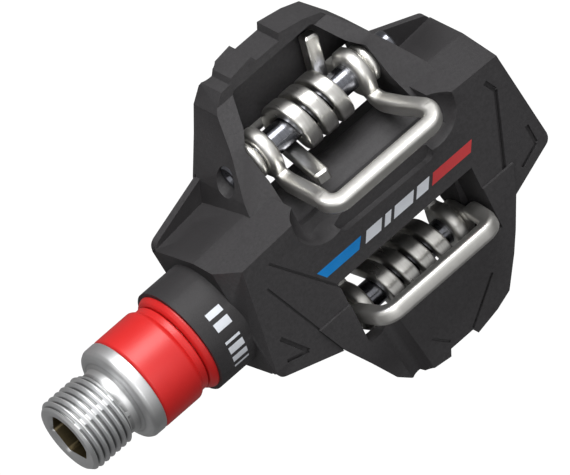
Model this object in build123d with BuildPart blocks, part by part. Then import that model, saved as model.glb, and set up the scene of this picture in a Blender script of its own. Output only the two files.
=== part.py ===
"""Clipless bicycle pedal: a composite body that turns on a steel axle and holds four sprung arches.

+X runs along the axle away from the crank, +Y is the front end, +Z is the upper side.
The origin is on the axle's axis, on the flange face that meets the crank.
The body looks the same after half a turn about the axle, so each outline is drawn once
and used on the upper side and, turned over, on the lower side.
"""

import os
from math import radians, sin, tan

from build123d import *

os.makedirs("parts", exist_ok=True)

# --- axle -------------------------------------------------------------------------------
thread_radius = 7.14
thread_length = 11.2
flange_radius = 9.2
flange_width = 3.0
seal_land_radius = 7.2
seal_land_end = 18.4
shaft_radius = 5.0
shaft_shoulder = 74.0
tail_radius = 4.0
tail_end = 83.4
hex_width = 8.0
hex_depth = 8.0

# --- red sleeve and bearing retainer ------------------------------------------------------
sleeve_radius = 9.2
sleeve_end = 11.5
sleeve_lip_radius = 8.6
sleeve_lip_end = 13.2
retainer_start = 13.45
retainer_radius = 9.5
retainer_nose_radius = 8.4
retainer_nose_end = 18.0
seal_width = 2.0

# --- body ---------------------------------------------------------------------------------
collar_start = 14.8
collar_radius = 10.2
barrel_radius = 8.4
body_half_height = 12.0
plate_height = 12.5
plate_thickness = 2.6
inboard_end = 22.5
outboard_end = 86.2
window_start = 40.0
window_end = 71.0
plate_inner_edge = 17.0
flange_thickness = 1.5
parting_z = 1.7
eye_level = 4.5
ledge_depth = 1.4
hoop_depth = 19.5
hoop_reach = 24.0
cavity_depth = 30.0
barrel_start = inboard_end + 6.0
barrel_end = outboard_end - 6.0

# --- bearings -----------------------------------------------------------------------------
running_gap = 0.05
needle_cup_radius = 7.5
needle_cup_wall = 1.0
needle_start = 18.6
needle_length = 12.0
needle_radius = 0.7
needle_count = 14
ball_start = shaft_shoulder
ball_width = 5.0
ball_radius = 1.19
ball_count = 10
ball_bore = 8.0
race_wall = 1.2
axle_bore = 5.6

# --- pivots, springs and arches -------------------------------------------------------------
pin_y = 16.6
pin_z = -3.3
pin_radius = 2.5
pin_start = 37.4
pin_end = 74.4
wire_width = 2.8
wire_depth = 2.4
coil_radius = 4.05
coil_pitch = 3.65
coil_turns = 3.25
coil_start = 49.85
upright_leg = 10.2
outward_leg = 9.5
rod_radius = 1.4
tall_eye_radius = 4.6
tall_eye_width = 2.6
short_eye_radius = 3.6
short_eye_width = 1.6
middle_x = 55.55

UPPER = Plane.XY
LOWER = Plane(origin=(0, 0, 0), x_dir=(1, 0, 0), z_dir=(0, 0, -1))
FRONT = Plane.YZ
REAR = Plane(origin=(0, 0, 0), x_dir=(0, -1, 0), z_dir=(1, 0, 0))
AXLE = Axis((0, 0, 0), (1, 0, 0))


def save(piece, name):
    """Label one finished piece and write it as its own file."""
    piece.label = name
    export_step(piece, f"parts/{name}.step")


def ring(name, start, end, inner, outer):
    """A plain turned ring about the axle."""
    with BuildPart() as turned:
        with BuildSketch(FRONT.offset(start)):
            Circle(outer)
            Circle(inner, mode=Mode.SUBTRACT)
        extrude(amount=end - start)
    save(turned.part, name)


# --- spindle: one turned steel axle -----------------------------------------------------------
with BuildPart() as spindle:
    with BuildSketch(Plane.XY):
        with BuildLine():
            Polyline(
                (-thread_length, 0),
                (-thread_length, thread_radius - 0.9),
                (-thread_length + 0.9, thread_radius),
                (0, thread_radius),
                (0, flange_radius),
                (flange_width, flange_radius),
                (flange_width, seal_land_radius),
                (seal_land_end, seal_land_radius),
                (seal_land_end, shaft_radius),
                (shaft_shoulder, shaft_radius),
                (shaft_shoulder, tail_radius),
                (tail_end, tail_radius),
                (tail_end, 0),
                close=True,
            )
        make_face()
    revolve(axis=AXLE)
    flange_edges = spindle.edges().filter_by(GeomType.CIRCLE)
    flange_edges = flange_edges.filter_by(lambda e: abs(e.radius - flange_radius) < 0.01)
    fillet(flange_edges, radius=0.9)
    with BuildSketch(FRONT.offset(-thread_length)):
        RegularPolygon(radius=hex_width / 2, side_count=6, major_radius=False)
    extrude(amount=hex_depth, mode=Mode.SUBTRACT)
save(spindle.part, "spindle")

# --- spindle sleeve: red cover with a grooved lip ----------------------------------------------
with BuildPart() as spindle_sleeve:
    with BuildSketch(Plane.XY):
        with BuildLine():
            Polyline(
                (flange_width, seal_land_radius),
                (flange_width, sleeve_radius - 0.7),
                (flange_width + 0.7, sleeve_radius),
                (sleeve_end - 0.3, sleeve_radius),
                (sleeve_end, sleeve_radius - 0.3),
                (sleeve_end, sleeve_lip_radius),
                (sleeve_lip_end, sleeve_lip_radius),
                (sleeve_lip_end, seal_land_radius),
                close=True,
            )
        make_face()
    revolve(axis=AXLE)
save(spindle_sleeve.part, "spindle_sleeve")

# --- bearing retainer: red flared ring screwed into the collar, with a pocket for the seal -------
seal_outer = seal_land_radius + 0.9
with BuildPart() as bearing_retainer:
    with BuildSketch(Plane.XY):
        with BuildLine():
            Polyline(
                (retainer_start, seal_land_radius + 0.15),
                (retainer_start, retainer_radius - 0.6),
                (retainer_start + 0.5, retainer_radius),
                (collar_start, retainer_radius),
                (collar_start, retainer_nose_radius),
                (retainer_nose_end, retainer_nose_radius),
                (retainer_nose_end, seal_outer),
                (retainer_nose_end - seal_width, seal_outer),
                (retainer_nose_end - seal_width, seal_land_radius + 0.15),
                close=True,
            )
        make_face()
    revolve(axis=AXLE)
save(bearing_retainer.part, "bearing_retainer")

ring(
    "axle_seal",
    retainer_nose_end - seal_width,
    retainer_nose_end,
    seal_land_radius + running_gap,
    seal_outer,
)

# --- pedal frame ----------------------------------------------------------------------------------
# The end plate's outline on the upper side, from the inboard wing round the rear end to the
# outboard wing. The lower side repeats it at the front end.
end_outline = [
    (33.0, -8.0),
    (35.5, -14.8),
    (39.3, -21.8),
    (41.6, -26.4),
    (44.4, -29.1),
    (46.4, -29.2),
    (47.1, -30.1),
    (52.1, -30.8),
    (52.7, -29.5),
    (57.9, -29.5),
    (58.5, -30.8),
    (63.5, -29.7),
    (67.0, -28.3),
    (70.8, -22.9),
    (73.0, -19.2),
    (76.0, -13.4),
    (78.0, -8.0),
]
rim_line = [(-8.0, -6.3), (-12.6, -3.4), (-21.5, 2.0), (-27.2, 6.4), (-34.0, 6.4)]
# The cavity is wide beside the upper half of the eyes and narrower below them, nearer the rim.
cavity_end_y = -27.8
wide_cavity = [(0.0, -8.0), (0.0, -19.8), (3.6, -22.8), (6.4, cavity_end_y)]
narrow_cavity = [(0.5, -8.0), (1.4, -15.0), (1.4, -20.6), (3.6, -22.8), (6.4, cavity_end_y)]

# Each wing is a ruled block between two sections that share the half-turn symmetry. A section is
# given by its station and by how far its front edge, its flank's foot and its flange reach.
wing_sections = {
    "inboard": [(inboard_end, 12.0, 9.7, 10.3), (window_start, 12.9, 11.5, 16.6)],
    "outboard": [(window_end, 12.0, 8.0, 16.2), (outboard_end, 11.4, 9.0, 9.6)],
}


def wing_section(front_edge, foot, flange_edge):
    """Corners of a wing's section: an upper flat, a flank, and the shelf of the lower flange, twice."""
    shelf_z = flange_thickness - body_half_height
    upper = [
        (-flange_edge, body_half_height),
        (front_edge, body_half_height),
        (front_edge + 0.1, parting_z),
        (foot, shelf_z),
        (flange_edge, shelf_z),
    ]
    return upper + [(-y, -z) for y, z in upper]


# Each end of the body is cut by a plane on the upper side and by its twin on the lower side: a
# point on the plane, two directions in it, and which way along the axle the body lies.
wing_ends = [
    ((23.9, 0.0, 12.0), (3.0, 23.2, 0.0), (-2.4, 0.0, -4.0), 1),
    ((85.3, 0.0, 12.0), (-1.9, 18.3, 0.0), (1.0, 0.0, -12.0), -1),
]

# The flange's tips are rounded: each corner, and the directions of the two edges that meet there.
tip_radius = 1.8
flange_tips = [
    ((22.57, -10.3), (3.0, 23.2), (17.4, -6.3)),
    ((86.25, -9.6), (-1.9, 18.3), (-15.2, -6.6)),
]


def corner_round(corner, first, second):
    """The triangle and the circle's centre whose difference rounds a corner."""
    corner, first, second = Vector(corner), Vector(first).normalized(), Vector(second).normalized()
    half = radians(first.get_angle(second) / 2)
    middle = (first + second).normalized()
    touch = tip_radius / tan(half)
    spots = [corner - middle, corner + first * touch, corner + second * touch]
    centre = corner + middle * (tip_radius / sin(half))
    return [(spot.X, spot.Y) for spot in spots], (centre.X, centre.Y)


spine_section = [(-3.2, 12.0), (6.4, 12.0), (7.2, 7.0)]
# Bowls in the flat give the tall arch's corners room, and a ledge runs between them.
bowl_centres = [(43.0, 11.0, 14.0), (67.8, 11.0, 14.0)]
bowl_radius = 6.4
ledge_outline = [(44.6, 9.0), (44.6, 4.2), (66.0, 3.7), (66.0, 9.0)]
ledge_corner = 1.6
# A shallow valley runs across the end plate, from the window's corner to the end.
valley_start = (44.6, -15.5, 14.6)
valley_end = (46.6, -33.0, 14.2)
valley_radius = 2.8

# Engraved lines on the flat of the upper side: width, depth and the points they pass through.
creases = [
    (0.5, 0.4, [(30.4, 9.7), (40.3, -4.3)]),
    (0.4, 0.4, [(28.1, 5.9), (35.8, -15.4)]),
    (0.8, 0.6, [(26.1, -4.0), (29.8, -10.0), (25.4, -8.6)]),
    (0.9, 0.8, [(80.0, 8.7), (81.2, 6.0), (74.4, -13.4)]),
    (0.8, 0.6, [(83.4, -4.2), (83.6, -8.4), (79.4, -10.4)]),
]
# Steps in the end plate, on the same side.
plate_creases = [
    (0.6, 0.5, [(65.6, -22.9), (61.3, -26.5), (58.0, -29.2)]),
    (0.5, 0.3, [(50.4, -25.2), (53.2, -28.2)]),
]


with BuildPart() as pedal_frame:
    # End hoops: a plate, an end wall and two side limbs on each side of the body.
    for side, across in ((UPPER, FRONT), (LOWER, REAR)):
        with BuildSketch(side.offset(plate_height)):
            Polygon(*end_outline, align=None)
        extrude(amount=-hoop_depth)
        # The rim falls from the wings to the low end wall.
        with BuildSketch(across.offset(middle_x)):
            Polygon(*rim_line, (-34.0, -20.0), (-8.0, -20.0), align=None)
        extrude(amount=hoop_reach, both=True, mode=Mode.SUBTRACT)
        # The cavity under the plate holds the coil spring.
        for level, depth, half in (
            (plate_height - plate_thickness, plate_height - plate_thickness - eye_level, wide_cavity),
            (eye_level, cavity_depth, narrow_cavity),
        ):
            inboard_half = [(window_start + x, y) for x, y in half]
            outboard_half = [(window_end - x, y) for x, y in reversed(half)]
            with BuildSketch(side.offset(level)):
                with BuildLine():
                    FilletPolyline(*inboard_half, *outboard_half, radius=1.0)
                    Line(outboard_half[-1], inboard_half[0])
                make_face()
            extrude(amount=-depth, mode=Mode.SUBTRACT)
        # The plate stops short of the arches.
        with BuildSketch(side.offset(eye_level)):
            Polygon(
                (window_start, -8.0),
                (window_start, -plate_inner_edge),
                (window_end, -plate_inner_edge),
                (window_end, -8.0),
                align=None,
            )
        extrude(amount=plate_height, mode=Mode.SUBTRACT)
    # Wings.
    for sections in wing_sections.values():
        for station, *reaches in sections:
            with BuildSketch(FRONT.offset(station)):
                Polygon(*wing_section(*reaches), align=None)
        loft(ruled=True)
    # Both ends of the body lean, and the tips of the flanges are rounded.
    for side in (UPPER, LOWER):
        for spot, edge, slope, inward in wing_ends:
            normal = side.from_local_coords(Vector(edge)).cross(side.from_local_coords(Vector(slope)))
            normal *= 1 if normal.X * inward > 0 else -1
            end_plane = Plane(origin=side.from_local_coords(Vector(spot)), z_dir=normal)
            split(bisect_by=end_plane, keep=Keep.TOP)
        for corner, along_end, along_flange in flange_tips:
            triangle, centre = corner_round(corner, along_end, along_flange)
            with BuildSketch(side.offset(body_half_height + 1.0)):
                Polygon(*triangle, align=None)
                with Locations(centre):
                    Circle(tip_radius, mode=Mode.SUBTRACT)
            extrude(amount=-flange_thickness - 1.0, mode=Mode.SUBTRACT)
    # Spine and barrel between the wings, and the collar.
    with BuildSketch(FRONT.offset(barrel_start)):
        Polygon(*spine_section, *[(-y, -z) for y, z in spine_section], align=None)
    extrude(amount=barrel_end - barrel_start)
    with BuildSketch(FRONT.offset(barrel_start)):
        Circle(barrel_radius)
    extrude(amount=barrel_end - barrel_start)
    with BuildSketch(FRONT.offset(collar_start)):
        Circle(collar_radius)
    extrude(amount=barrel_start - collar_start)
    # Bores for the retainer, the needle bearing, the axle and the ball bearing.
    for start, end, radius in (
        (collar_start, needle_start, retainer_nose_radius),
        (needle_start, needle_start + needle_length, needle_cup_radius),
        (needle_start, ball_start, axle_bore),
        (ball_start, outboard_end + 1.0, ball_bore),
    ):
        with BuildSketch(FRONT.offset(start)):
            Circle(radius)
        extrude(amount=end - start, mode=Mode.SUBTRACT)
    # Bowls, the ledge between them, and the valley across the end plate.
    for side in (UPPER, LOWER):
        with Locations([side.from_local_coords(Vector(spot)) for spot in bowl_centres]):
            Sphere(bowl_radius, mode=Mode.SUBTRACT)
        with BuildSketch(side.offset(body_half_height)):
            with BuildLine():
                FilletPolyline(*ledge_outline, radius=ledge_corner)
                Line(ledge_outline[-1], ledge_outline[0])
            make_face()
        extrude(amount=-ledge_depth, mode=Mode.SUBTRACT)
        near = side.from_local_coords(Vector(valley_start))
        far = side.from_local_coords(Vector(valley_end))
        with BuildSketch(Plane(origin=near, z_dir=far - near)):
            Circle(valley_radius)
        extrude(amount=(far - near).length, mode=Mode.SUBTRACT)
    # Engraved creases and arrow marks on the wings, and steps in the end plates.
    for side in (UPPER, LOWER):
        for level, lines in ((body_half_height, creases), (plate_height, plate_creases)):
            for width, depth, points in lines:
                for start, end in zip(points, points[1:]):
                    with BuildSketch(side.offset(level)):
                        with BuildLine():
                            Line(start, end)
                        trace(line_width=width)
                    extrude(amount=-depth, mode=Mode.SUBTRACT)
    # Holes for the pivot pins.
    for across in (FRONT, REAR):
        with BuildSketch(across.offset(inboard_end)):
            with Locations((pin_y, pin_z)):
                Circle(pin_radius)
        extrude(amount=outboard_end - inboard_end, mode=Mode.SUBTRACT)
save(pedal_frame.part, "pedal_frame")

# --- pivot pins: one through each hoop ---------------------------------------------------------------
for across, name in ((FRONT, "front_pivot_pin"), (REAR, "rear_pivot_pin")):
    with BuildPart() as pivot_pin:
        with BuildSketch(across.offset(pin_start)):
            with Locations((pin_y, pin_z)):
                Circle(pin_radius)
        extrude(amount=pin_end - pin_start)
        chamfer(pivot_pin.edges().filter_by(GeomType.CIRCLE), length=0.3)
    save(pivot_pin.part, name)

# --- torsion springs: flat wire wound round the pins, with two straight legs ----------------------------
with BuildPart() as front_spring:
    with BuildLine():
        coil = Helix(
            pitch=coil_pitch,
            height=coil_pitch * coil_turns,
            radius=coil_radius,
            center=(coil_start, pin_y, pin_z),
            direction=(1, 0, 0),
        )
    axis_point = Vector(coil_start, pin_y, pin_z)
    for end, outward, leg_length in ((0, -1, upright_leg), (1, 1, outward_leg)):
        spot = coil @ end
        radial = spot - Vector(spot.X, pin_y, pin_z)
        with BuildSketch(Plane(origin=spot, x_dir=radial, z_dir=(coil % end) * outward)) as wire:
            Rectangle(wire_depth, wire_width)
        if end == 0:
            sweep(path=coil, is_frenet=True)
        extrude(wire.sketch, amount=leg_length)
# The coil is turned about its pin until one leg points up along the tall arch and the other outward.
upright_spring = front_spring.part.rotate(Axis(axis_point, (1, 0, 0)), 90)
save(upright_spring, "front_spring")

# --- end cap: screw-in plug with a hex recess -----------------------------------------------------------
cap_skirt_start = ball_start + ball_width
cap_face_start = tail_end + 0.6
cap_proud = 0.3
cap_skirt_wall = 0.9
cap_hex_width = 6.0
cap_hex_depth = 1.6
cap_end = outboard_end + cap_proud
with BuildPart() as end_cap:
    with BuildSketch(FRONT.offset(cap_skirt_start)):
        Circle(ball_bore)
        Circle(ball_bore - cap_skirt_wall, mode=Mode.SUBTRACT)
    extrude(amount=cap_face_start - cap_skirt_start)
    with BuildSketch(FRONT.offset(cap_face_start)):
        Circle(ball_bore)
    extrude(amount=cap_end - cap_face_start)
    chamfer(end_cap.edges().sort_by(Axis.X)[-1], length=0.4)
    with BuildSketch(FRONT.offset(cap_end)):
        RegularPolygon(radius=cap_hex_width / 2, side_count=6, major_radius=False)
    extrude(amount=-cap_hex_depth, mode=Mode.SUBTRACT)
save(end_cap.part, "end_cap")

# --- needle bearing in the collar ---------------------------------------------------------------------------
needle_end = needle_start + needle_length
cage_half_wall = 0.45
cage_inset = 0.4
roller_inset = 1.2
pocket_inset = 1.1
needle_circle = shaft_radius + running_gap + needle_radius
ring(
    "needle_bearing_cup",
    needle_start,
    needle_end,
    needle_cup_radius - needle_cup_wall,
    needle_cup_radius,
)
with BuildPart() as needle_rollers:
    with BuildSketch(FRONT.offset(needle_start + roller_inset)):
        with PolarLocations(needle_circle, needle_count):
            Circle(needle_radius)
    extrude(amount=needle_length - 2 * roller_inset)
save(needle_rollers.part, "needle_rollers")

with BuildPart() as needle_cage:
    with BuildSketch(FRONT.offset(needle_start + cage_inset)):
        Circle(needle_circle + cage_half_wall)
        Circle(needle_circle - cage_half_wall, mode=Mode.SUBTRACT)
    extrude(amount=needle_length - 2 * cage_inset)
    with BuildSketch(FRONT.offset(needle_start + pocket_inset)):
        with PolarLocations(needle_circle, needle_count):
            Circle(needle_radius + running_gap)
    extrude(amount=needle_length - 2 * pocket_inset, mode=Mode.SUBTRACT)
save(needle_cage.part, "needle_cage")

# --- ball bearing at the outboard end -------------------------------------------------------------------------
ball_middle = ball_start + ball_width / 2
ball_circle = (tail_radius + ball_bore) / 2
for inner, outer, name in (
    (tail_radius, tail_radius + race_wall, "bearing_inner_ring"),
    (ball_bore - race_wall, ball_bore, "bearing_outer_ring"),
):
    with BuildPart() as race:
        with BuildSketch(Plane.XY):
            with Locations((ball_middle, (inner + outer) / 2)):
                Rectangle(ball_width, outer - inner)
            with Locations((ball_middle, ball_circle)):
                Circle(ball_radius + running_gap, mode=Mode.SUBTRACT)
        revolve(axis=AXLE)
    save(race.part, name)

with BuildPart() as bearing_balls:
    with Locations(FRONT.offset(ball_middle)):
        with PolarLocations(ball_circle, ball_count):
            Sphere(ball_radius)
save(bearing_balls.part, "bearing_balls")

ball_cage_width = 3.5
ball_cage_half_wall = 0.4
with BuildPart() as ball_cage:
    with BuildSketch(FRONT.offset(ball_middle - ball_cage_width / 2)):
        Circle(ball_circle + ball_cage_half_wall)
        Circle(ball_circle - ball_cage_half_wall, mode=Mode.SUBTRACT)
    extrude(amount=ball_cage_width)
    with BuildSketch(FRONT.offset(ball_middle - ball_radius - running_gap)):
        with PolarLocations(ball_circle, ball_count):
            Circle(ball_radius + running_gap)
    extrude(amount=ball_width, mode=Mode.SUBTRACT)
save(ball_cage.part, "ball_cage")

shield_gap = 0.1
shield_inset = 0.1
shield_thickness = 0.3
with BuildPart() as bearing_shields:
    for start in (ball_start + shield_inset, ball_start + ball_width - shield_inset - shield_thickness):
        with BuildSketch(FRONT.offset(start)):
            Circle(ball_bore - race_wall)
            Circle(tail_radius + race_wall + shield_gap, mode=Mode.SUBTRACT)
        extrude(amount=shield_thickness)
save(bearing_shields.part, "bearing_shields")

washer_start = ball_start + ball_width
washer_end = washer_start + 0.8
washer_wall = 1.5
nut_width = 11.0
nut_height = 2.8
ring("lock_washer", washer_start, washer_end, tail_radius, tail_radius + washer_wall)
with BuildPart() as lock_nut:
    with BuildSketch(FRONT.offset(washer_end)):
        RegularPolygon(radius=nut_width / 2, side_count=6, major_radius=False)
        Circle(tail_radius, mode=Mode.SUBTRACT)
    extrude(amount=nut_height)
save(lock_nut.part, "lock_nut")

# --- arches: bent steel rods with an eye at each end ------------------------------------------------------------
eye_gap = 0.05
tall_eye = (43.5, tall_eye_width, tall_eye_radius)
tall_route = [(44.9, 13.3, -1.2), (44.8, 11.5, 1.2), (44.2, 12.7, 7.5), (43.4, 14.3, 13.8), (43.2, 13.5, 17.1)]
tall_bends = [3.5, 12.0, 3.0, 2.5]
short_eye = (41.6, short_eye_width, short_eye_radius)
short_route = [(41.8, -14.5, 7.0), (41.9, -13.1, 8.6), (43.2, -11.7, 16.9)]
short_bends = [3.0, 2.8]


def arch(route, bends, eye, pivot):
    """One arch: a rod over the cleat, and a flat eye for the pin at each end."""
    eye_x, eye_width, eye_radius = eye
    mirrored = [(2 * middle_x - x, y, z) for x, y, z in reversed(route)]
    with BuildPart() as made:
        with BuildLine():
            path = FilletPolyline(*route, *mirrored, radius=bends + bends[::-1])
        with BuildSketch(Plane(origin=path @ 0, z_dir=path % 0)):
            Circle(rod_radius)
        sweep(path=path)
        for start in (eye_x, 2 * middle_x - eye_x - eye_width):
            with BuildSketch(FRONT.offset(start)):
                with Locations(pivot):
                    Circle(eye_radius)
                with Locations(route[1][1:]):
                    Circle(rod_radius)
                make_hull()
            extrude(amount=eye_width)
            with BuildSketch(FRONT.offset(start)):
                with Locations(pivot):
                    Circle(pin_radius + eye_gap)
            extrude(amount=eye_width, mode=Mode.SUBTRACT)
    return made.part


tall_arch = arch(tall_route, tall_bends, tall_eye, (pin_y, pin_z))
short_arch = arch(short_route, short_bends, short_eye, (-pin_y, -pin_z))
save(tall_arch, "top_front_arch")
save(short_arch, "top_rear_arch")

# --- the lower twins, and the rear spring: the same pieces after half a turn about the axle ------------------------
save(tall_arch.rotate(Axis.X, 180), "bottom_rear_arch")
save(short_arch.rotate(Axis.X, 180), "bottom_front_arch")
save(upright_spring.rotate(Axis.X, 180), "rear_spring")
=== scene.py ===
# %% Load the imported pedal
from math import acos, atan2, ceil, cos, hypot, pi, radians, sin, tan

import bpy
from mathutils import Matrix, Vector


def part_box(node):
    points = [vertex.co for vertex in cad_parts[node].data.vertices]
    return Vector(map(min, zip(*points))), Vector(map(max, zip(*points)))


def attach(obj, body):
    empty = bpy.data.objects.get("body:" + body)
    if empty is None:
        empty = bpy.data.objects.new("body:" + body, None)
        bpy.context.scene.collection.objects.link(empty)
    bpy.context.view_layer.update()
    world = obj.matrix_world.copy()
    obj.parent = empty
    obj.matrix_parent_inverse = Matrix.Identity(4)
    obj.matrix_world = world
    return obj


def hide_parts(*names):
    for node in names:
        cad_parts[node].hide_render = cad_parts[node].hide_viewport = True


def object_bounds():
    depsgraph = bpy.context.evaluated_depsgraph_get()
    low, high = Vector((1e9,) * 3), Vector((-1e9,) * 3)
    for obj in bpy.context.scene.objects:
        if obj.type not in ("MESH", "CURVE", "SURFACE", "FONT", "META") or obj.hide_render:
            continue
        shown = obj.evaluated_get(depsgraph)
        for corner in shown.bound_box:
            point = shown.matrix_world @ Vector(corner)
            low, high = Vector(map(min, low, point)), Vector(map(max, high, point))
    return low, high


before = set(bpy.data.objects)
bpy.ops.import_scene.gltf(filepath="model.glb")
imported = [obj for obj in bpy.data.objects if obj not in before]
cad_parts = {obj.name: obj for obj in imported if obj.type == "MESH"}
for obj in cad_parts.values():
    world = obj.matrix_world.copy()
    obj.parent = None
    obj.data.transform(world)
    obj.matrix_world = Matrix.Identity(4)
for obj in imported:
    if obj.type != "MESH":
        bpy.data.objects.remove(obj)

cad_low, cad_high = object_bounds()
mm = 0.001
print("CAD box in mm:", [round(v / mm, 1) for v in (*cad_low, *cad_high)])

# %% [markdown]
# # A clipless pedal
#
# The pedal turns on a steel axle that points along +X, away from the crank. +Y is its front
# end and +Z its upper side. The composite body looks the same after half a turn about the
# axle, so several pieces below are made once and used twice.
#
# The frame brings plain solids of the right size. This lesson gives them their looks: turned
# parts get a real thread and soft edges, the arches get a forged section, the springs are
# wound from flat wire, and each finish is a small network of procedural nodes.

# %% [markdown]
# ## Camera
#
# Something this small is shown from far away with a long lens, so that parallel edges stay
# parallel. The lens stops at a metre of focal length, because a camera further off than a
# hundred times the pedal's own radius would clip it. The camera stands above the front end on
# the crank side, and it is rolled so that the axle runs from the lower left to the upper right.

# %% Camera
toward_camera = Vector((-0.309, 0.598, 0.739)).normalized()
roughly_up = Vector((0.624, 0.714, -0.317))
look_at = Vector((36.7, 8.73, 8.26)) * mm
lens = 1000.0
distance_per_lens = 2.6304
distance = distance_per_lens * lens * mm

camera_right = roughly_up.cross(toward_camera).normalized()
camera_up = toward_camera.cross(camera_right)
camera_data = bpy.data.cameras.new("long_lens")
camera_data.lens = lens
camera = bpy.data.objects.new("camera", camera_data)
camera.matrix_world = Matrix.Translation(look_at + toward_camera * distance) @ Matrix(
    (camera_right, camera_up, toward_camera)
).transposed().to_4x4()
bpy.context.scene.collection.objects.link(camera)
bpy.context.scene.camera = camera
print("camera at", [round(v, 3) for v in camera.location])

# %% [markdown]
# ## Small helpers
#
# Every mesh in this lesson is made from a list of points and a list of faces, in metres, so
# one helper turns them into an object. It shades the faces smooth and keeps an edge sharp
# where two faces meet at more than a given angle.

# %% Helpers for meshes
def mesh_piece(name, points, faces, sharp_above=35.0):
    """A new object from points in millimetres and faces given by point numbers."""
    mesh = bpy.data.meshes.new(name)
    mesh.from_pydata([Vector(p) * mm for p in points], [], faces)
    mesh.validate()
    mesh.shade_smooth()
    mesh.set_sharp_from_angle(angle=radians(sharp_above))
    piece = bpy.data.objects.new(name, mesh)
    bpy.context.scene.collection.objects.link(piece)
    return piece


def ring_faces(rings, size, first=0):
    """Faces between neighbouring rings of `size` points each, from point number `first` on."""
    faces = []
    for ring in range(rings - 1):
        for k in range(size):
            a, b = first + ring * size + k, first + ring * size + (k + 1) % size
            faces.append((a, b, b + size, a + size))
    return faces


def add_modifier(piece, kind, **settings):
    """A modifier with its settings given by name."""
    modifier = piece.modifiers.new(kind.lower(), kind)
    for key, value in settings.items():
        setattr(modifier, key, value)
    return modifier


def soften(piece, width, segments=3, angle=30.0):
    """Rounds the edges of a piece, as every moulded or machined edge is rounded a little."""
    add_modifier(piece, "WELD", merge_threshold=0.002 * mm)
    add_modifier(
        piece,
        "BEVEL",
        width=width * mm,
        segments=segments,
        limit_method="ANGLE",
        angle_limit=radians(angle),
        harden_normals=True,
    )


# %% [markdown]
# ## Effects that several finishes share
#
# Grain, drawn lines, edges lightened for wear and as a painted highlight, and painted shade in
# recesses appear on more than one material. Each is a shader node group with named inputs, so
# that a material can place it with its own values.
# The noise is laid out in object coordinates, which are in metres here, so a scale of 1000
# means about one feature per millimetre.

# %% Helpers for node trees
def new_group(name, inputs, outputs):
    """An empty shader node group with float inputs and the given outputs."""
    tree = bpy.data.node_groups.new(name, "ShaderNodeTree")
    for label, value in inputs.items():
        socket = tree.interface.new_socket(label, in_out="INPUT", socket_type="NodeSocketFloat")
        socket.default_value = value
    for label, kind in outputs.items():
        tree.interface.new_socket(label, in_out="OUTPUT", socket_type=kind)
    return tree, tree.nodes.new("NodeGroupInput"), tree.nodes.new("NodeGroupOutput")


def node(tree, kind, settings=None, **inputs):
    """A node. Each input is given by its name or as _number, and is a value or a socket to link."""
    made = tree.nodes.new(kind)
    for key, value in (settings or {}).items():
        setattr(made, key, value)
    for key, value in inputs.items():
        socket = made.inputs[int(key[1:])] if key[0] == "_" else made.inputs[key.replace("_", " ")]
        if isinstance(value, bpy.types.NodeSocket):
            tree.links.new(value, socket)
        else:
            socket.default_value = value
    return made


def spread(tree, value, low, high):
    """Maps 0..1 to low..high."""
    return node(tree, "ShaderNodeMapRange", _0=value, _3=low, _4=high).outputs[0]


def mix_colour(tree, factor, first, second):
    """A colour between two others."""
    return node(tree, "ShaderNodeMix", {"data_type": "RGBA"}, _0=factor, _6=first, _7=second).outputs[2]


def excess(tree, value, limit, reach):
    """How far a value is over a limit, as a share of a reach, held to 0..1."""
    over = node(tree, "ShaderNodeMath", {"operation": "SUBTRACT"}, _0=value, _1=limit).outputs[0]
    share = {"operation": "DIVIDE", "use_clamp": True}
    return node(tree, "ShaderNodeMath", share, _0=over, _1=reach).outputs[0]


# %% Moulded grain
grain_tree, source, result = new_group(
    "moulded_grain",
    {"Grains per Metre": 2600.0, "Patches per Metre": 90.0},
    {"Height": "NodeSocketFloat", "Patches": "NodeSocketFloat"},
)
where = node(grain_tree, "ShaderNodeTexCoord").outputs["Object"]
fine = node(
    grain_tree, "ShaderNodeTexNoise", Vector=where, Scale=source.outputs[0], Detail=4.0, Roughness=0.7
)
patches = node(grain_tree, "ShaderNodeTexNoise", Vector=where, Scale=source.outputs[1], Detail=3.0)
grain_tree.links.new(fine.outputs["Fac"], result.inputs["Height"])
grain_tree.links.new(patches.outputs["Fac"], result.inputs["Patches"])
print("group", grain_tree.name)

# %% Drawn lines
lines_tree, source, result = new_group(
    "drawn_lines",
    {"Along X": 60.0, "Along Y": 2500.0, "Along Z": 2500.0},
    {"Lines": "NodeSocketFloat", "Blotches": "NodeSocketFloat"},
)
where = node(lines_tree, "ShaderNodeTexCoord").outputs["Object"]
along_x, along_y, along_z = source.outputs[:3]
stretch = node(lines_tree, "ShaderNodeCombineXYZ", X=along_x, Y=along_y, Z=along_z)
scaled = node(
    lines_tree, "ShaderNodeVectorMath", {"operation": "MULTIPLY"}, _0=where, _1=stretch.outputs[0]
).outputs[0]
lines = node(lines_tree, "ShaderNodeTexNoise", Vector=scaled, Scale=1.0, Detail=3.0, Roughness=0.6)
blotches = node(lines_tree, "ShaderNodeTexNoise", Vector=where, Scale=220.0, Detail=2.0)
lines_tree.links.new(lines.outputs["Fac"], result.inputs["Lines"])
lines_tree.links.new(blotches.outputs["Fac"], result.inputs["Blotches"])
print("group", lines_tree.name)
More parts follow.
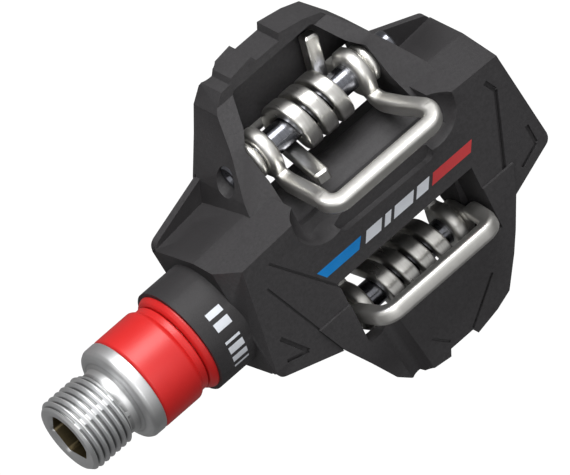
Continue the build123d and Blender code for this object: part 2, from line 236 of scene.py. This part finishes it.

# %% [markdown]
# Pointiness is a half on a flat, more on an outer edge and less in a groove. The edge group
# takes what lies above a half, broken up by noise, for worn edges and a painted edge highlight,
# and the recess group what lies below, for painted shade in grooves and recesses.

# %% Edge wear and painted edge highlight
flat_pointiness = 0.5
wear_and_highlight_tree, source, result = new_group(
    "edge_wear_and_painted_highlight", {"Reach": 0.06, "Breakup per Metre": 900.0}, {"Mask": "NodeSocketFloat"}
)
where = node(wear_and_highlight_tree, "ShaderNodeTexCoord").outputs["Object"]
point = node(wear_and_highlight_tree, "ShaderNodeNewGeometry").outputs["Pointiness"]
edge = excess(wear_and_highlight_tree, point, flat_pointiness, source.outputs[0])
breakup = node(wear_and_highlight_tree, "ShaderNodeTexNoise", Vector=where, Scale=source.outputs[1], Detail=3.0)
times = {"operation": "MULTIPLY", "use_clamp": True}
mask = node(wear_and_highlight_tree, "ShaderNodeMath", times, _0=edge, _1=breakup.outputs["Fac"]).outputs[0]
wear_and_highlight_tree.links.new(mask, result.inputs["Mask"])
print("group", wear_and_highlight_tree.name)

# %% Painted shade in recesses
recess_shade_tree, source, result = new_group("painted_recess_shade", {"Reach": 0.035}, {"Mask": "NodeSocketFloat"})
point = node(recess_shade_tree, "ShaderNodeNewGeometry").outputs["Pointiness"]
mask = excess(recess_shade_tree, flat_pointiness, point, source.outputs[0])
recess_shade_tree.links.new(mask, result.inputs["Mask"])
print("group", recess_shade_tree.name)


# %% Helpers for materials
def new_material(name, **shader):
    """A material with a Principled shader whose constant values are given by name."""
    material = bpy.data.materials.new(name)
    material.use_nodes = True
    principled = material.node_tree.nodes["Principled BSDF"]
    for key, value in shader.items():
        principled.inputs[key.replace("_", " ")].default_value = value
    return material, material.node_tree, principled


def use_group(tree, group_tree, **values):
    """Places a node group in a material."""
    made = node(tree, "ShaderNodeGroup", {"node_tree": group_tree})
    for key, value in values.items():
        made.inputs[key.replace("_", " ")].default_value = value
    return made


def bump(tree, principled, height, strength, depth):
    """Feeds a height in millimetres to the shader's normal."""
    made = node(tree, "ShaderNodeBump", Height=height, Strength=strength, Distance=depth * mm)
    tree.links.new(made.outputs[0], principled.inputs["Normal"])


def dress(piece, material, body=None):
    """Gives a piece its one material slot and the body that it rides on."""
    piece.data.materials.clear()
    piece.data.materials.append(material)
    if body:
        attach(piece, body)


# %% [markdown]
# ## Finishes
#
# The body is a dark composite: carbon-black resin with a fine spark-eroded grain from the
# mould. It is not black, and its sheen changes in soft patches where hands and shoes rub it.

# %% Moulded composite
composite, tree, shader = new_material("moulded_composite", Specular_IOR_Level=0.28)
grain = use_group(tree, grain_tree, Grains_per_Metre=4200.0, Patches_per_Metre=45.0)
lightened_edges = use_group(tree, wear_and_highlight_tree, Reach=0.2, Breakup_per_Metre=1800.0)
base = mix_colour(tree, grain.outputs["Patches"], (0.0165, 0.0155, 0.0162, 1), (0.0185, 0.0175, 0.0182, 1))
speckled = mix_colour(tree, spread(tree, grain.outputs["Height"], 0.0, 0.5), base, (0.07, 0.0665, 0.07, 1))
# Edges are lightened: partly real wear, partly a painted highlight along the rounded edges.
colour = mix_colour(tree, spread(tree, lightened_edges.outputs["Mask"], 0.0, 0.5), speckled, (0.085, 0.083, 0.086, 1))
tree.links.new(colour, shader.inputs["Base Color"])
tree.links.new(spread(tree, grain.outputs["Patches"], 0.46, 0.56), shader.inputs["Roughness"])
bump(tree, shader, grain.outputs["Height"], 0.5, 0.12)
print("made", composite.name)


# %% [markdown]
# The metals differ in their tone, in how rough they are and in which way their fine lines
# run, so one function makes them all.

# %% Metals
# How dark the painted shade in recesses is, as a share of the metal's dark tone.
recess_darkness = 0.3


def metal(name, dark, light, roughness, lines, line_depth=0.01, wear_and_highlight_colour=None):
    """A metal with fine lines, blotchy sheen, painted shade in its recesses and, if asked, edges lightened
    for wear and as a painted highlight.
    """
    material, tree, shader = new_material(name, Metallic=1.0)
    drawn = use_group(tree, lines_tree, Along_X=lines[0], Along_Y=lines[1], Along_Z=lines[2])
    tone = mix_colour(tree, drawn.outputs["Lines"], (*dark, 1), (*light, 1))
    # Lighter edges: partly wear, partly a painted edge highlight.
    if wear_and_highlight_colour:
        lightened_edges = use_group(tree, wear_and_highlight_tree, Reach=0.12, Breakup_per_Metre=500.0)
        tone = mix_colour(tree, lightened_edges.outputs["Mask"], tone, (*wear_and_highlight_colour, 1))
    # Painted shade: grooves and recesses are darkened in the base colour.
    recess = use_group(tree, recess_shade_tree)
    recess_shade_colour = [part * recess_darkness for part in dark]
    tone = mix_colour(tree, recess.outputs["Mask"], tone, (*recess_shade_colour, 1))
    tree.links.new(tone, shader.inputs["Base Color"])
    sheen = mix_colour(tree, 0.5, drawn.outputs["Lines"], drawn.outputs["Blotches"])
    tree.links.new(spread(tree, sheen, *roughness), shader.inputs["Roughness"])
    bump(tree, shader, drawn.outputs["Lines"], 0.4, line_depth)
    print("made", material.name)
    return material


plated_steel = metal(
    "satin_plating", (0.7, 0.71, 0.72), (0.84, 0.84, 0.84), (0.38, 0.52), (300, 300, 300)
)
forged_steel = metal(
    "forged_steel",
    (0.76, 0.745, 0.71),
    (0.88, 0.87, 0.84),
    (0.34, 0.48),
    (900, 900, 900),
    line_depth=0.012,
    # Lighter edges on the steel: worn metal and a painted edge highlight.
    wear_and_highlight_colour=(0.85, 0.84, 0.8),
)
spring_steel = metal(
    "ground_spring_steel", (0.58, 0.57, 0.54), (0.86, 0.85, 0.82), (0.2, 0.4), (2600, 260, 260)
)
pin_steel = metal("polished_pin_steel", (0.12, 0.12, 0.14), (0.3, 0.31, 0.34), (0.1, 0.3), (2500, 200, 200))
bearing_steel = metal("bearing_steel", (0.6, 0.6, 0.62), (0.78, 0.78, 0.8), (0.08, 0.2), (1500, 400, 400))
socket_steel = metal("tarnished_socket", (0.1, 0.075, 0.04), (0.22, 0.18, 0.1), (0.4, 0.6), (120, 900, 900))

# %% [markdown]
# The sleeve and the retainer are anodised a bright red under a clear lacquer, so they have a
# coat layer. Rubber and cage polymer are hidden when the pedal is whole, but they get a
# finish as well.

# %% Red lacquer, rubber and polymer
red, tree, shader = new_material("red_lacquer", Coat_Weight=0.2, Coat_Roughness=0.3, Specular_IOR_Level=0.5)
grain = use_group(tree, grain_tree, Grains_per_Metre=900.0, Patches_per_Metre=120.0)
tone = mix_colour(tree, grain.outputs["Patches"], (0.55, 0.008, 0.008, 1), (0.68, 0.016, 0.014, 1))
tree.links.new(tone, shader.inputs["Base Color"])
tree.links.new(spread(tree, grain.outputs["Patches"], 0.36, 0.48), shader.inputs["Roughness"])
bump(tree, shader, grain.outputs["Height"], 0.1, 0.02)

rubber, tree, shader = new_material("seal_rubber")
grain = use_group(tree, grain_tree, Grains_per_Metre=1500.0)
tree.links.new(
    mix_colour(tree, grain.outputs["Patches"], (0.012, 0.012, 0.012, 1), (0.03, 0.03, 0.03, 1)),
    shader.inputs["Base Color"],
)
tree.links.new(spread(tree, grain.outputs["Height"], 0.6, 0.85), shader.inputs["Roughness"])

polymer, tree, shader = new_material("cage_polymer")
grain = use_group(tree, grain_tree, Grains_per_Metre=1200.0)
tree.links.new(
    mix_colour(tree, grain.outputs["Patches"], (0.35, 0.26, 0.14, 1), (0.5, 0.4, 0.24, 1)),
    shader.inputs["Base Color"],
)
tree.links.new(spread(tree, grain.outputs["Height"], 0.35, 0.55), shader.inputs["Roughness"])
print("made", red.name, rubber.name, polymer.name)


# %% Printed inks
thin_ink = 0.82


def ink(name, colour):
    """Screen ink on a grained surface: it takes on the grain and is a little uneven."""
    material, tree, shader = new_material(name)
    grain = use_group(tree, grain_tree, Grains_per_Metre=2400.0, Patches_per_Metre=400.0)
    thin = [part * thin_ink for part in colour]
    tone = mix_colour(tree, grain.outputs["Patches"], (*thin, 1), (*colour, 1))
    tree.links.new(tone, shader.inputs["Base Color"])
    tree.links.new(spread(tree, grain.outputs["Patches"], 0.4, 0.55), shader.inputs["Roughness"])
    bump(tree, shader, grain.outputs["Height"], 0.3, 0.08)
    return material


blue_ink = ink("blue_ink", (0.0, 0.235, 0.66))
red_ink = ink("red_ink", (0.6, 0.05, 0.055))
white_ink = ink("white_ink", (0.72, 0.75, 0.8))
print("made", blue_ink.name, red_ink.name, white_ink.name)

# %% [markdown]
# ## The composite body
#
# The frame's solid already has the body's shape, so it stays. A weld joins the points that
# the export split, and a bevel rounds each edge by about a third of a millimetre, as a mould
# does.

# %% Body, cap and hidden pieces
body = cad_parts["pedal_frame"]
dress(body, composite)
soften(body, 0.35)
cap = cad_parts["end_cap"]
dress(cap, composite)
soften(cap, 0.25)
for name, finish in {
    "axle_seal": rubber,
    "needle_bearing_cup": bearing_steel,
    "needle_rollers": bearing_steel,
    "needle_cage": polymer,
    "bearing_outer_ring": bearing_steel,
    "bearing_inner_ring": bearing_steel,
    "bearing_balls": bearing_steel,
    "ball_cage": polymer,
    "bearing_shields": plated_steel,
    "lock_washer": plated_steel,
    "lock_nut": plated_steel,
}.items():
    dress(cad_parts[name], finish)
print("body bevelled, hidden pieces dressed")

# %% [markdown]
# ## Turned pieces
#
# A lathe turns a profile about the axle, or about a line beside it. Each step of the profile
# is a distance along +X and a radius. Corners are rounded first, because a sharp corner
# catches no light.

# %% Lathe
around = 144
most_of_side = 0.45


def rounded(profile, size):
    """Cuts each corner of a profile into a small three-step round."""
    soft = [profile[0]]
    for before, here, after in zip(profile, profile[1:], profile[2:]):
        a, b, c = Vector(before), Vector(here), Vector(after)
        reach = min(size, (b - a).length * most_of_side, (c - b).length * most_of_side)
        start = b + (a - b).normalized() * reach
        end = b + (c - b).normalized() * reach
        for t in (0.0, 1 / 3, 2 / 3, 1.0):
            soft.append(tuple(start * (1 - t) ** 2 + b * 2 * t * (1 - t) + end * t**2))
    return soft + [profile[-1]]


def ring_points(x, radius):
    """One ring about the axle. The radius may be a function of the angle."""
    points = []
    for k in range(around):
        angle = 2 * pi * k / around
        r = radius(angle) if callable(radius) else radius
        points.append((x, r * cos(angle), r * sin(angle)))
    return points


def lathe(name, profile, corner=0.25, centre=(0.0, 0.0)):
    """A turned piece, about the axle or about a line beside it."""
    points = [p for x, r in rounded(profile, corner) for p in ring_points(x, r)]
    points = [(x, y + centre[0], z + centre[1]) for x, y, z in points]
    return mesh_piece(name, points, ring_faces(len(points) // around, around))


# %% [markdown]
# ## The axle and its thread
#
# A crank thread is a ridge wound round a cylinder, 20 turns to the inch, right-handed on a
# right pedal. Rings would look almost the same, but a real thread leans and runs out at its
# end. Here each ring of points advances by one pitch as it goes round, so its last point
# joins the ring that lies one pitch further on, and the crests come out clean.

# %% Thread surface
thread_start = cad_low.x / mm
thread_end = -2.3
pitch = 1.27
crest, root = 7.12, 6.3
root_flat, flank = 0.14, 0.72
fade = 0.9
steps_per_pitch = 12


def thread_radius(x, step):
    """The thread's flank at one of the steps through a pitch, faded out at both ends."""
    phase = abs(2 * (step % steps_per_pitch) / steps_per_pitch - 1)
    ridge = root + (crest - root) * min(max((phase - root_flat) / flank, 0.0), 1.0)
    lead_in = root + (x - thread_start) * fade
    run_out = root + (thread_end - x) * fade
    return min(ridge, lead_in, run_out)


def thread_surface():
    """Points and faces of the helical part, as rings that advance by one pitch per turn."""
    rings = int((thread_end - thread_start) / pitch * steps_per_pitch) + 2 * steps_per_pitch
    points, faces = [], []
    for ring in range(rings + 1):
        for k in range(around):
            x = thread_start - pitch + (ring / steps_per_pitch + k / around) * pitch
            x = min(max(x, thread_start), thread_end)
            angle = 2 * pi * k / around
            r = thread_radius(x, ring)
            points.append((x, r * cos(angle), r * sin(angle)))
    for ring in range(rings):
        for k in range(around - 1):
            a = ring * around + k
            faces.append((a, a + 1, a + 1 + around, a + around))
        joined = min(ring + steps_per_pitch, rings) * around
        joined_next = min(ring + 1 + steps_per_pitch, rings) * around
        last = ring * around + around - 1
        faces.append((last, joined, joined_next, last + around))
    return points, faces


# %% [markdown]
# The end face has a hex socket. A ring of points can be a circle or a hexagon, so the
# socket's chamfer is simply a step from a circle to a hexagon.

# %% Axle
def hexagon(flat):
    """The radius of a hexagon with this distance from its centre to a flat."""
    return lambda angle: flat / cos((angle + pi / 6) % (pi / 3) - pi / 6)


socket_flat, socket_mouth, socket_depth = 4.0, 4.95, 7.6
socket_corner, plated_rim, past_floor = 4.62, 0.45, 2.0
end_face = [
    ring_points(thread_start + socket_depth + 1.2, 0.05),
    ring_points(thread_start + socket_depth, hexagon(socket_flat)),
    ring_points(thread_start + 0.5, hexagon(socket_flat)),
    ring_points(thread_start + 0.12, 4.75),
    ring_points(thread_start, socket_mouth),
    ring_points(thread_start, root),
]
flange_side = rounded(
    [(thread_end, root), (-1.5, 6.3), (-0.5, 6.5), (-0.05, 7.1), (0.0, 8.1), (0.35, 8.8), (1.0, 9.18)]
    + [(3.0, 9.2), (3.02, 7.2), (18.4, 7.2), (18.4, 5.0), (74.0, 5.0), (74.0, 4.0), (83.0, 4.0), (83.4, 3.6)]
    + [(83.4, 0.05)],
    0.2,
)
points, faces = thread_surface()
for rings in (end_face, [ring_points(x, r) for x, r in flange_side]):
    faces += ring_faces(len(rings), around, len(points))
    points += [p for ring in rings for p in ring]
axle = mesh_piece("threaded_axle", points, faces, 40)
add_modifier(axle, "WELD", merge_threshold=0.003 * mm)
dress(axle, plated_steel, "axle")
axle.data.materials.append(socket_steel)
for face in axle.data.polygons:
    middle = face.center / mm
    depth = middle.x - thread_start
    if plated_rim < depth < socket_depth + past_floor and hypot(middle.y, middle.z) < socket_corner:
        face.material_index = 1
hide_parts("spindle")
print("axle has", len(axle.data.polygons), "faces")

# %% [markdown]
# The red sleeve slides over the axle and turns with it. The red retainer screws into the
# body and turns with the body, so the groove between them is where the pedal turns.

# %% Sleeve and retainer
sleeve = lathe(
    "red_sleeve",
    [(3.05, 7.21), (3.05, 8.7), (3.4, 9.2), (11.0, 9.2), (11.5, 8.9), (11.7, 8.6), (12.5, 8.55), (13.2, 8.6)]
    + [(13.25, 7.21)],
    0.3,
)
dress(sleeve, red, "axle")
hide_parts("spindle_sleeve")
retainer = lathe(
    "red_retainer",
    [(16.0, 7.36), (13.4, 7.36), (13.4, 8.6), (13.75, 9.1), (14.5, 9.5), (14.8, 9.5), (14.8, 8.4)]
    + [(18.0, 8.4), (18.0, 8.1)],
    0.2,
)
dress(retainer, red, "pedal_body")
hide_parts("bearing_retainer")
print("sleeve and retainer turned")

# %% [markdown]
# ## Arches
#
# Each arch is a forged steel rod, bent so that its bar stands over the cleat, with a flat eye
# at each end for the pin. A round tube would look like fence wire. The real section is a
# square with generous rounds, so the rod is swept with that section, and its frame is carried
# along the path without twisting.

# %% Paths and sweeps
def bent_path(corners, radii, step=0.35):
    """Points along straight runs joined by arcs, close enough together to look smooth."""
    corners = [Vector(c) for c in corners]
    path = [corners[0]]
    for here, before, after, radius in zip(corners[1:-1], corners, corners[2:], radii):
        back, on = (before - here).normalized(), (after - here).normalized()
        half = acos(max(-1.0, min(1.0, back.dot(on)))) / 2
        start, end = here + back * radius / tan(half), here + on * radius / tan(half)
        centre = here + (back + on).normalized() * radius / sin(half)
        swing = pi - 2 * half
        count = max(3, ceil(swing * radius / step))
        for k in range(count + 1):
            t = k / count
            a, b = start - centre, end - centre
            path.append(centre + (a * sin((1 - t) * swing) + b * sin(t * swing)) / sin(swing))
    path.append(corners[-1])
    return path


def rounded_box(width, height, corner, steps=4):
    """The outline of a rod's section, anticlockwise."""
    outline = []
    for quarter in range(4):
        cx = (width / 2 - corner) * (1 if quarter in (0, 3) else -1)
        cy = (height / 2 - corner) * (1 if quarter in (0, 1) else -1)
        for k in range(steps + 1):
            angle = pi / 2 * (quarter + k / steps)
            outline.append((cx + corner * cos(angle), cy + corner * sin(angle)))
    return outline


taper_length, taper_size = 5.0, 0.78


def sweep(path, section, first_normal):
    """Points and faces of a section carried along a path, narrower and closed at both ends."""
    points, size = [], len(section)
    normal = Vector(first_normal)
    along = [0.0]
    for here, following in zip(path, path[1:]):
        along.append(along[-1] + (following - here).length)
    for k, here in enumerate(path):
        tangent = (path[min(k + 1, len(path) - 1)] - path[max(k - 1, 0)]).normalized()
        normal = (normal - tangent * normal.dot(tangent)).normalized()
        side = tangent.cross(normal)
        from_end = min(along[k], along[-1] - along[k], taper_length) / taper_length
        scale = taper_size + (1 - taper_size) * sin(from_end * pi / 2)
        points += [here + (normal * a + side * b) * scale for a, b in section]
    faces = ring_faces(len(path), size)
    faces.append(tuple(range(size))[::-1])
    faces.append(tuple(range(len(points) - size, len(points))))
    return points, faces


# %% [markdown]
# The eye is a drop-shaped plate: a circle round the pin, drawn out towards the rod. Seen from
# the pin's centre, its edge is the further of two circles and the straight line between
# them, so a ring of points at equal angles describes it.

# %% Eyes
def drop_radius(angle, big, reach, small, toward):
    """Distance from the pin's centre to the edge of a drop that points along `toward`."""
    turn = (angle - toward + pi) % (2 * pi) - pi
    lean = acos((big - small) / reach)
    if abs(turn) >= lean:
        return big
    inside = reach * cos(turn)
    across = reach * sin(turn)
    if abs(across) < small:
        round_end = inside + (small**2 - across**2) ** 0.5
    else:
        round_end = 0.0
    straight = big / cos(lean - abs(turn))
    contact = atan2(small * sin(lean), reach + small * cos(lean))
    return round_end if abs(turn) < contact else straight


def eye_plate(x_low, x_high, pivot, toward_point, big=4.6, small=1.45, hole=2.55, count=72, bevel=0.55):
    """Points and faces of a drop-shaped eye with a round hole."""
    away = Vector(toward_point) - Vector(pivot)
    reach, toward = away.length, atan2(away.y, away.x)
    steps = [(x_low, "hole"), (x_low, -bevel), (x_low + bevel, 0.0)]
    steps += [(x_high - bevel, 0.0), (x_high, -bevel), (x_high, "hole")]
    points, faces = [], []
    for x, grow in steps:
        for k in range(count):
            angle = 2 * pi * k / count
            r = hole if grow == "hole" else drop_radius(angle, big, reach, small, toward) + grow
            points.append((x, pivot[0] + r * cos(angle), pivot[1] + r * sin(angle)))
    for ring in range(len(steps)):
        following = (ring + 1) % len(steps)
        for k in range(count):
            a, b = ring * count, following * count
            m = (k + 1) % count
            faces.append((a + k, a + m, b + m, b + k))
    return points, faces


# %% [markdown]
# The tall arches stand over the front of the upper side and the rear of the lower side. Their
# arms dip towards the barrel before they rise. The short arches are straighter. In each pair
# the second is the first after half a turn about the axle. An eye is given by where it
# starts along +X, its thickness and its radius.

# %% Arches
middle_x = 55.55
pin = (16.6, -3.3)
rod_section = rounded_box(2.9, 3.0, 0.85)
eye_reach = 0.55
tall_eye = (43.5, 2.6, 4.6)
short_eye = (41.6, 1.6, 3.6)


def mirrored(route):
    """The same points on the other side of the pedal's middle, in reverse order."""
    return [(2 * middle_x - x, y, z) for x, y, z in reversed(route)]


def merge(*parts):
    """Joins several lists of points and faces into one."""
    points, faces = [], []
    for some_points, some_faces in parts:
        faces += [tuple(i + len(points) for i in face) for face in some_faces]
        points += [tuple(p) for p in some_points]
    return points, faces


def half_turn(points):
    """Turns points by half a turn about the axle."""
    return [(x, -y, -z) for x, y, z in points]


def arch(route, radii, eye, pivot):
    """One arch: the rod, and an eye at each of its ends."""
    whole = route + mirrored(route)
    path = bent_path(whole, radii + radii[::-1])
    parts = [sweep(path, rod_section, (1, 0, 0))]
    eye_x, eye_width, eye_radius = eye
    toward = [p + (r - p) * eye_reach for p, r in zip(pivot, route[1][1:])]
    for low in (eye_x, 2 * middle_x - eye_x - eye_width):
        parts.append(eye_plate(low, low + eye_width, pivot, toward, eye_radius))
    return merge(*parts)


tall = arch(
    [(44.9, 13.3, -1.2), (44.8, 11.5, 1.2), (44.2, 12.7, 7.5), (43.4, 14.3, 13.8), (43.2, 13.55, 16.9)],
    [3.5, 12.0, 3.0, 2.5],
    tall_eye,
    pin,
)
short = arch(
    [(41.8, -14.5, 7.0), (41.9, -13.1, 8.6), (43.2, -11.7, 16.75)],
    [3.0, 2.8],
    short_eye,
    (-pin[0], -pin[1]),
)
for name, shape, turned in (
    ("top_front_arch", tall, False),
    ("bottom_rear_arch", tall, True),
    ("top_rear_arch", short, False),
    ("bottom_front_arch", short, True),
):
    points = half_turn(shape[0]) if turned else shape[0]
    piece = mesh_piece("forged_" + name, points, shape[1], 50)
    dress(piece, forged_steel, name)
    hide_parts(name)
    print(piece.name, len(piece.data.polygons), "faces")

# %% [markdown]
# ## Springs
#
# A torsion spring of flat wire hugs each pin. The wire is swept like the arches, but its
# frame follows the pin's radius instead of being carried along, so that the flat always
# faces outward. The legs leave the ends of the coil and finish in a chamfer. The outward leg
# leans a little along the pin.

# %% Springs
coil_start, coil_pitch, coil_turns, coil_radius = 49.85, 3.65, 3.25, 4.05
upright_leg, outward_leg = 10.2, 8.7
wire = rounded_box(2.4, 2.8, 0.4, 3)
leg_lean = 0.7
turn_steps = 72
tip_scale, tip_reach = 0.72, 0.45


def spring():
    """Points and faces of the front spring."""
    count = int(coil_turns * turn_steps)
    centre = [
        Vector((coil_start + coil_pitch * coil_turns * k / count, *pin)) for k in range(count + 1)
    ]
    angles = [pi + 2 * pi * coil_turns * k / count for k in range(count + 1)]
    radial = [Vector((0, cos(a), sin(a))) for a in angles]
    path = [c + r * coil_radius for c, r in zip(centre, radial)]
    first, last = (path[0] - path[1]).normalized(), (path[-1] - path[-2]).normalized()
    upright_tip = path[0] + first * upright_leg
    outward_tip = path[-1] + last * outward_leg + Vector((leg_lean, 0, 0))
    path = [upright_tip, *path, outward_tip]
    radial = [radial[0]] + radial + [radial[-1]]
    points, size = [], len(wire)
    for k, (here, outward) in enumerate(zip(path, radial)):
        tangent = (path[min(k + 1, len(path) - 1)] - path[max(k - 1, 0)]).normalized()
        across = tangent.cross(outward).normalized()
        points += [here + outward * a + across * b for a, b in wire]
    faces = ring_faces(len(path), size)
    for ring, tangent in ((0, first), (len(path) - 1, last)):
        start = len(points)
        middle = path[ring] + tangent * tip_reach
        points += [middle + (points[ring * size + j] - path[ring]) * tip_scale for j in range(size)]
        for j in range(size):
            m = (j + 1) % size
            quad = (ring * size + j, ring * size + m, start + m, start + j)
            faces.append(quad if ring else quad[::-1])
        rim = tuple(start + j for j in range(size))
        faces.append(rim if ring else rim[::-1])
    return points, faces


spring_points, spring_faces = spring()
for name, points in (("front", spring_points), ("rear", half_turn(spring_points))):
    piece = mesh_piece(f"{name}_flat_wire_spring", points, spring_faces)
    dress(piece, spring_steel, "pedal_body")
    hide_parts(f"{name}_spring")
print("two springs of", len(spring_faces), "faces")

# %% Pins
for name, side in (("front", 1), ("rear", -1)):
    low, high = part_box(f"{name}_pivot_pin")
    start, end = low.x / mm, high.x / mm
    piece = lathe(
        f"{name}_polished_pin",
        [(start + 1.0, 0.02), (start + 0.9, 0.8), (start, 1.2), (start, 2.2), (start + 0.3, 2.49)]
        + [(end - 0.3, 2.49), (end, 2.2), (end, 1.2), (end - 0.9, 0.8), (end - 1.0, 0.02)],
        0.1,
        (side * pin[0], side * pin[1]),
    )
    dress(piece, pin_steel, "pedal_body")
    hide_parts(f"{name}_pivot_pin")
print("pins turned")

# %% [markdown]
# ## Printed marks
#
# The top of the spine carries a blue and a red stripe with four plain white dashes between
# them. Ink has next to no thickness, so each mark is a thin plate that stands a few
# hundredths of a millimetre proud of the surface. The same marks are on the lower side.

# %% Stripes
top = 12.0
ink_height = 0.03
ink_sunk = 0.05
both_sides = ((False, "upper"), (True, "lower"))


def thin_plate(name, outline, turned):
    """A flat mark on the upper side, or turned over to the lower side."""
    count = len(outline)
    points = [(x, y, z) for z in (top - ink_sunk, top + ink_height) for x, y in outline]
    faces = [tuple(range(count, 2 * count))]
    faces += [(k, (k + 1) % count, (k + 1) % count + count, k + count) for k in range(count)]
    return mesh_piece(name, half_turn(points) if turned else points, faces)


stripe_low, stripe_high, slant = -0.6, 1.4, 1.2


def stripe(start, end):
    """A slanted bar of the stripe, from its start to its end along the lower edge."""
    return [(start, stripe_low), (end, stripe_low), (end + slant, stripe_high), (start + slant, stripe_high)]


blue_outline = [(38.6, stripe_low), (46.1, stripe_low), (47.5, stripe_high), (37.3, stripe_high)]
dash_sizes = ((47.6, 3.6), (52.0, 1.4), (54.2, 4.4), (59.4, 2.8))
dashes = [stripe(start, start + length) for start, length in dash_sizes]
marks = {
    "blue": (blue_ink, [blue_outline]),
    "white": (white_ink, dashes),
    "red": (red_ink, [stripe(63.1, 72.1)]),
}
for label, (finish, outlines) in marks.items():
    for turned, side in both_sides:
        for number, outline in enumerate(outlines):
            piece = thin_plate(f"{side}_{label}_stripe_{number}", outline, turned)
            dress(piece, finish, "pedal_body")
print("stripes printed")

# %% [markdown]
# The collar carries a row of small white marks that follow its curve. Each is a patch of ink
# just above the collar, made as a strip of points at a constant radius.

# %% Marks round the collar
collar_radius = 10.2
mark_start, mark_end = 17.7, 20.9
mark_columns = 6


def curved_mark(name, turn_low, turn_high, turned):
    """A patch of ink on the collar between two angles, on the upper side or turned over."""
    radius = collar_radius + ink_height
    points = []
    for k in range(mark_columns + 1):
        angle = radians(turn_low + (turn_high - turn_low) * k / mark_columns)
        for x in (mark_start, mark_end):
            points.append((x, radius * cos(angle), radius * sin(angle)))
    faces = [(2 * k, 2 * k + 1, 2 * k + 3, 2 * k + 2) for k in range(mark_columns)]
    return mesh_piece(name, half_turn(points) if turned else points, faces)


mark_angles = [(48, 55), (60, 69), (81, 84), (88, 96), (100, 107), (112, 115)]
for turned, side in both_sides:
    for number, (low, high) in enumerate(mark_angles):
        piece = curved_mark(f"{side}_collar_mark_{number}", low, high, turned)
        dress(piece, white_ink, "pedal_body")
print("collar marked")

# %% [markdown]
# ## Floor and light
#
# The pedal rests on its lower arches on a white sweep. Seen by the camera the sweep is pure
# white, but to the metal it is a dim grey card, or every steel face would turn white as well.
# The Light Path node tells the two apart.

# %% Floor
floor_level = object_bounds()[0].z / mm
half_floor = 4000.0
corners = ((-1, -1), (1, -1), (1, 1), (-1, 1))
floor = mesh_piece(
    "white_sweep", [(x * half_floor, y * half_floor, floor_level) for x, y in corners], [(0, 1, 2, 3)]
)
paper, tree, shader = new_material("white_paper", Roughness=0.9, Specular_IOR_Level=0.1)
paper_grain = use_group(tree, grain_tree, Grains_per_Metre=300.0, Patches_per_Metre=8.0)
tree.links.new(
    mix_colour(tree, paper_grain.outputs["Patches"], (0.26, 0.26, 0.26, 1), (0.32, 0.32, 0.32, 1)),
    shader.inputs["Base Color"],
)
seen = node(tree, "ShaderNodeLightPath").outputs["Is Camera Ray"]
glow = node(tree, "ShaderNodeEmission", Color=(1, 1, 1, 1), Strength=1.05).outputs[0]
chosen = node(tree, "ShaderNodeMixShader", _0=seen, _1=shader.outputs[0], _2=glow).outputs[0]
tree.links.new(chosen, tree.nodes["Material Output"].inputs["Surface"])
floor.data.materials.append(paper)


# %% [markdown]
# The key light is a large softbox in front of the pedal, so faces that look forward are the
# brightest and the flat top stays dark. A weak strip from above draws a line along each
# round edge. The surround is dark behind the pedal and pale in front of it, which gives the
# steel its gradients.

# %% Lights
def area_light(name, direction, gap, size, power):
    """A rectangular soft light that faces the pedal from a direction."""
    data = bpy.data.lights.new(name, "AREA")
    data.shape = "RECTANGLE"
    data.size, data.size_y = size
    data.energy = power
    lamp = bpy.data.objects.new(name, data)
    toward = Vector(direction).normalized()
    lamp.location = look_at + toward * gap
    lamp.rotation_mode = "QUATERNION"
    lamp.rotation_quaternion = toward.to_track_quat("Z", "Y")
    bpy.context.scene.collection.objects.link(lamp)


area_light("front_softbox", (0.1, 1.2, 0.2), 0.6, (0.6, 0.4), 4.9)
area_light("top_strip", (-0.2, 0.3, 1.0), 0.6, (0.35, 0.2), 0.5)

pale_direction = (-0.08, 0.8, 0.6)
dark_from, pale_from = -0.25, 1.0
dark_level, pale_level = 0.1, 0.75

world = bpy.data.worlds.new("surround")
world.use_nodes = True
sky = world.node_tree
view = node(sky, "ShaderNodeTexCoord").outputs["Generated"]
facing = node(sky, "ShaderNodeVectorMath", {"operation": "DOT_PRODUCT"}, _0=view, _1=pale_direction)
shade = node(
    sky,
    "ShaderNodeMapRange",
    {"interpolation_type": "SMOOTHSTEP"},
    _0=facing.outputs["Value"],
    _1=dark_from,
    _2=pale_from,
    _3=dark_level,
    _4=pale_level,
)
sky.links.new(shade.outputs[0], sky.nodes["Background"].inputs["Color"])
sky.nodes["Background"].inputs["Strength"].default_value = 1.0
bpy.context.scene.world = world
bpy.context.scene.view_settings.view_transform = "Standard"
print("lit")
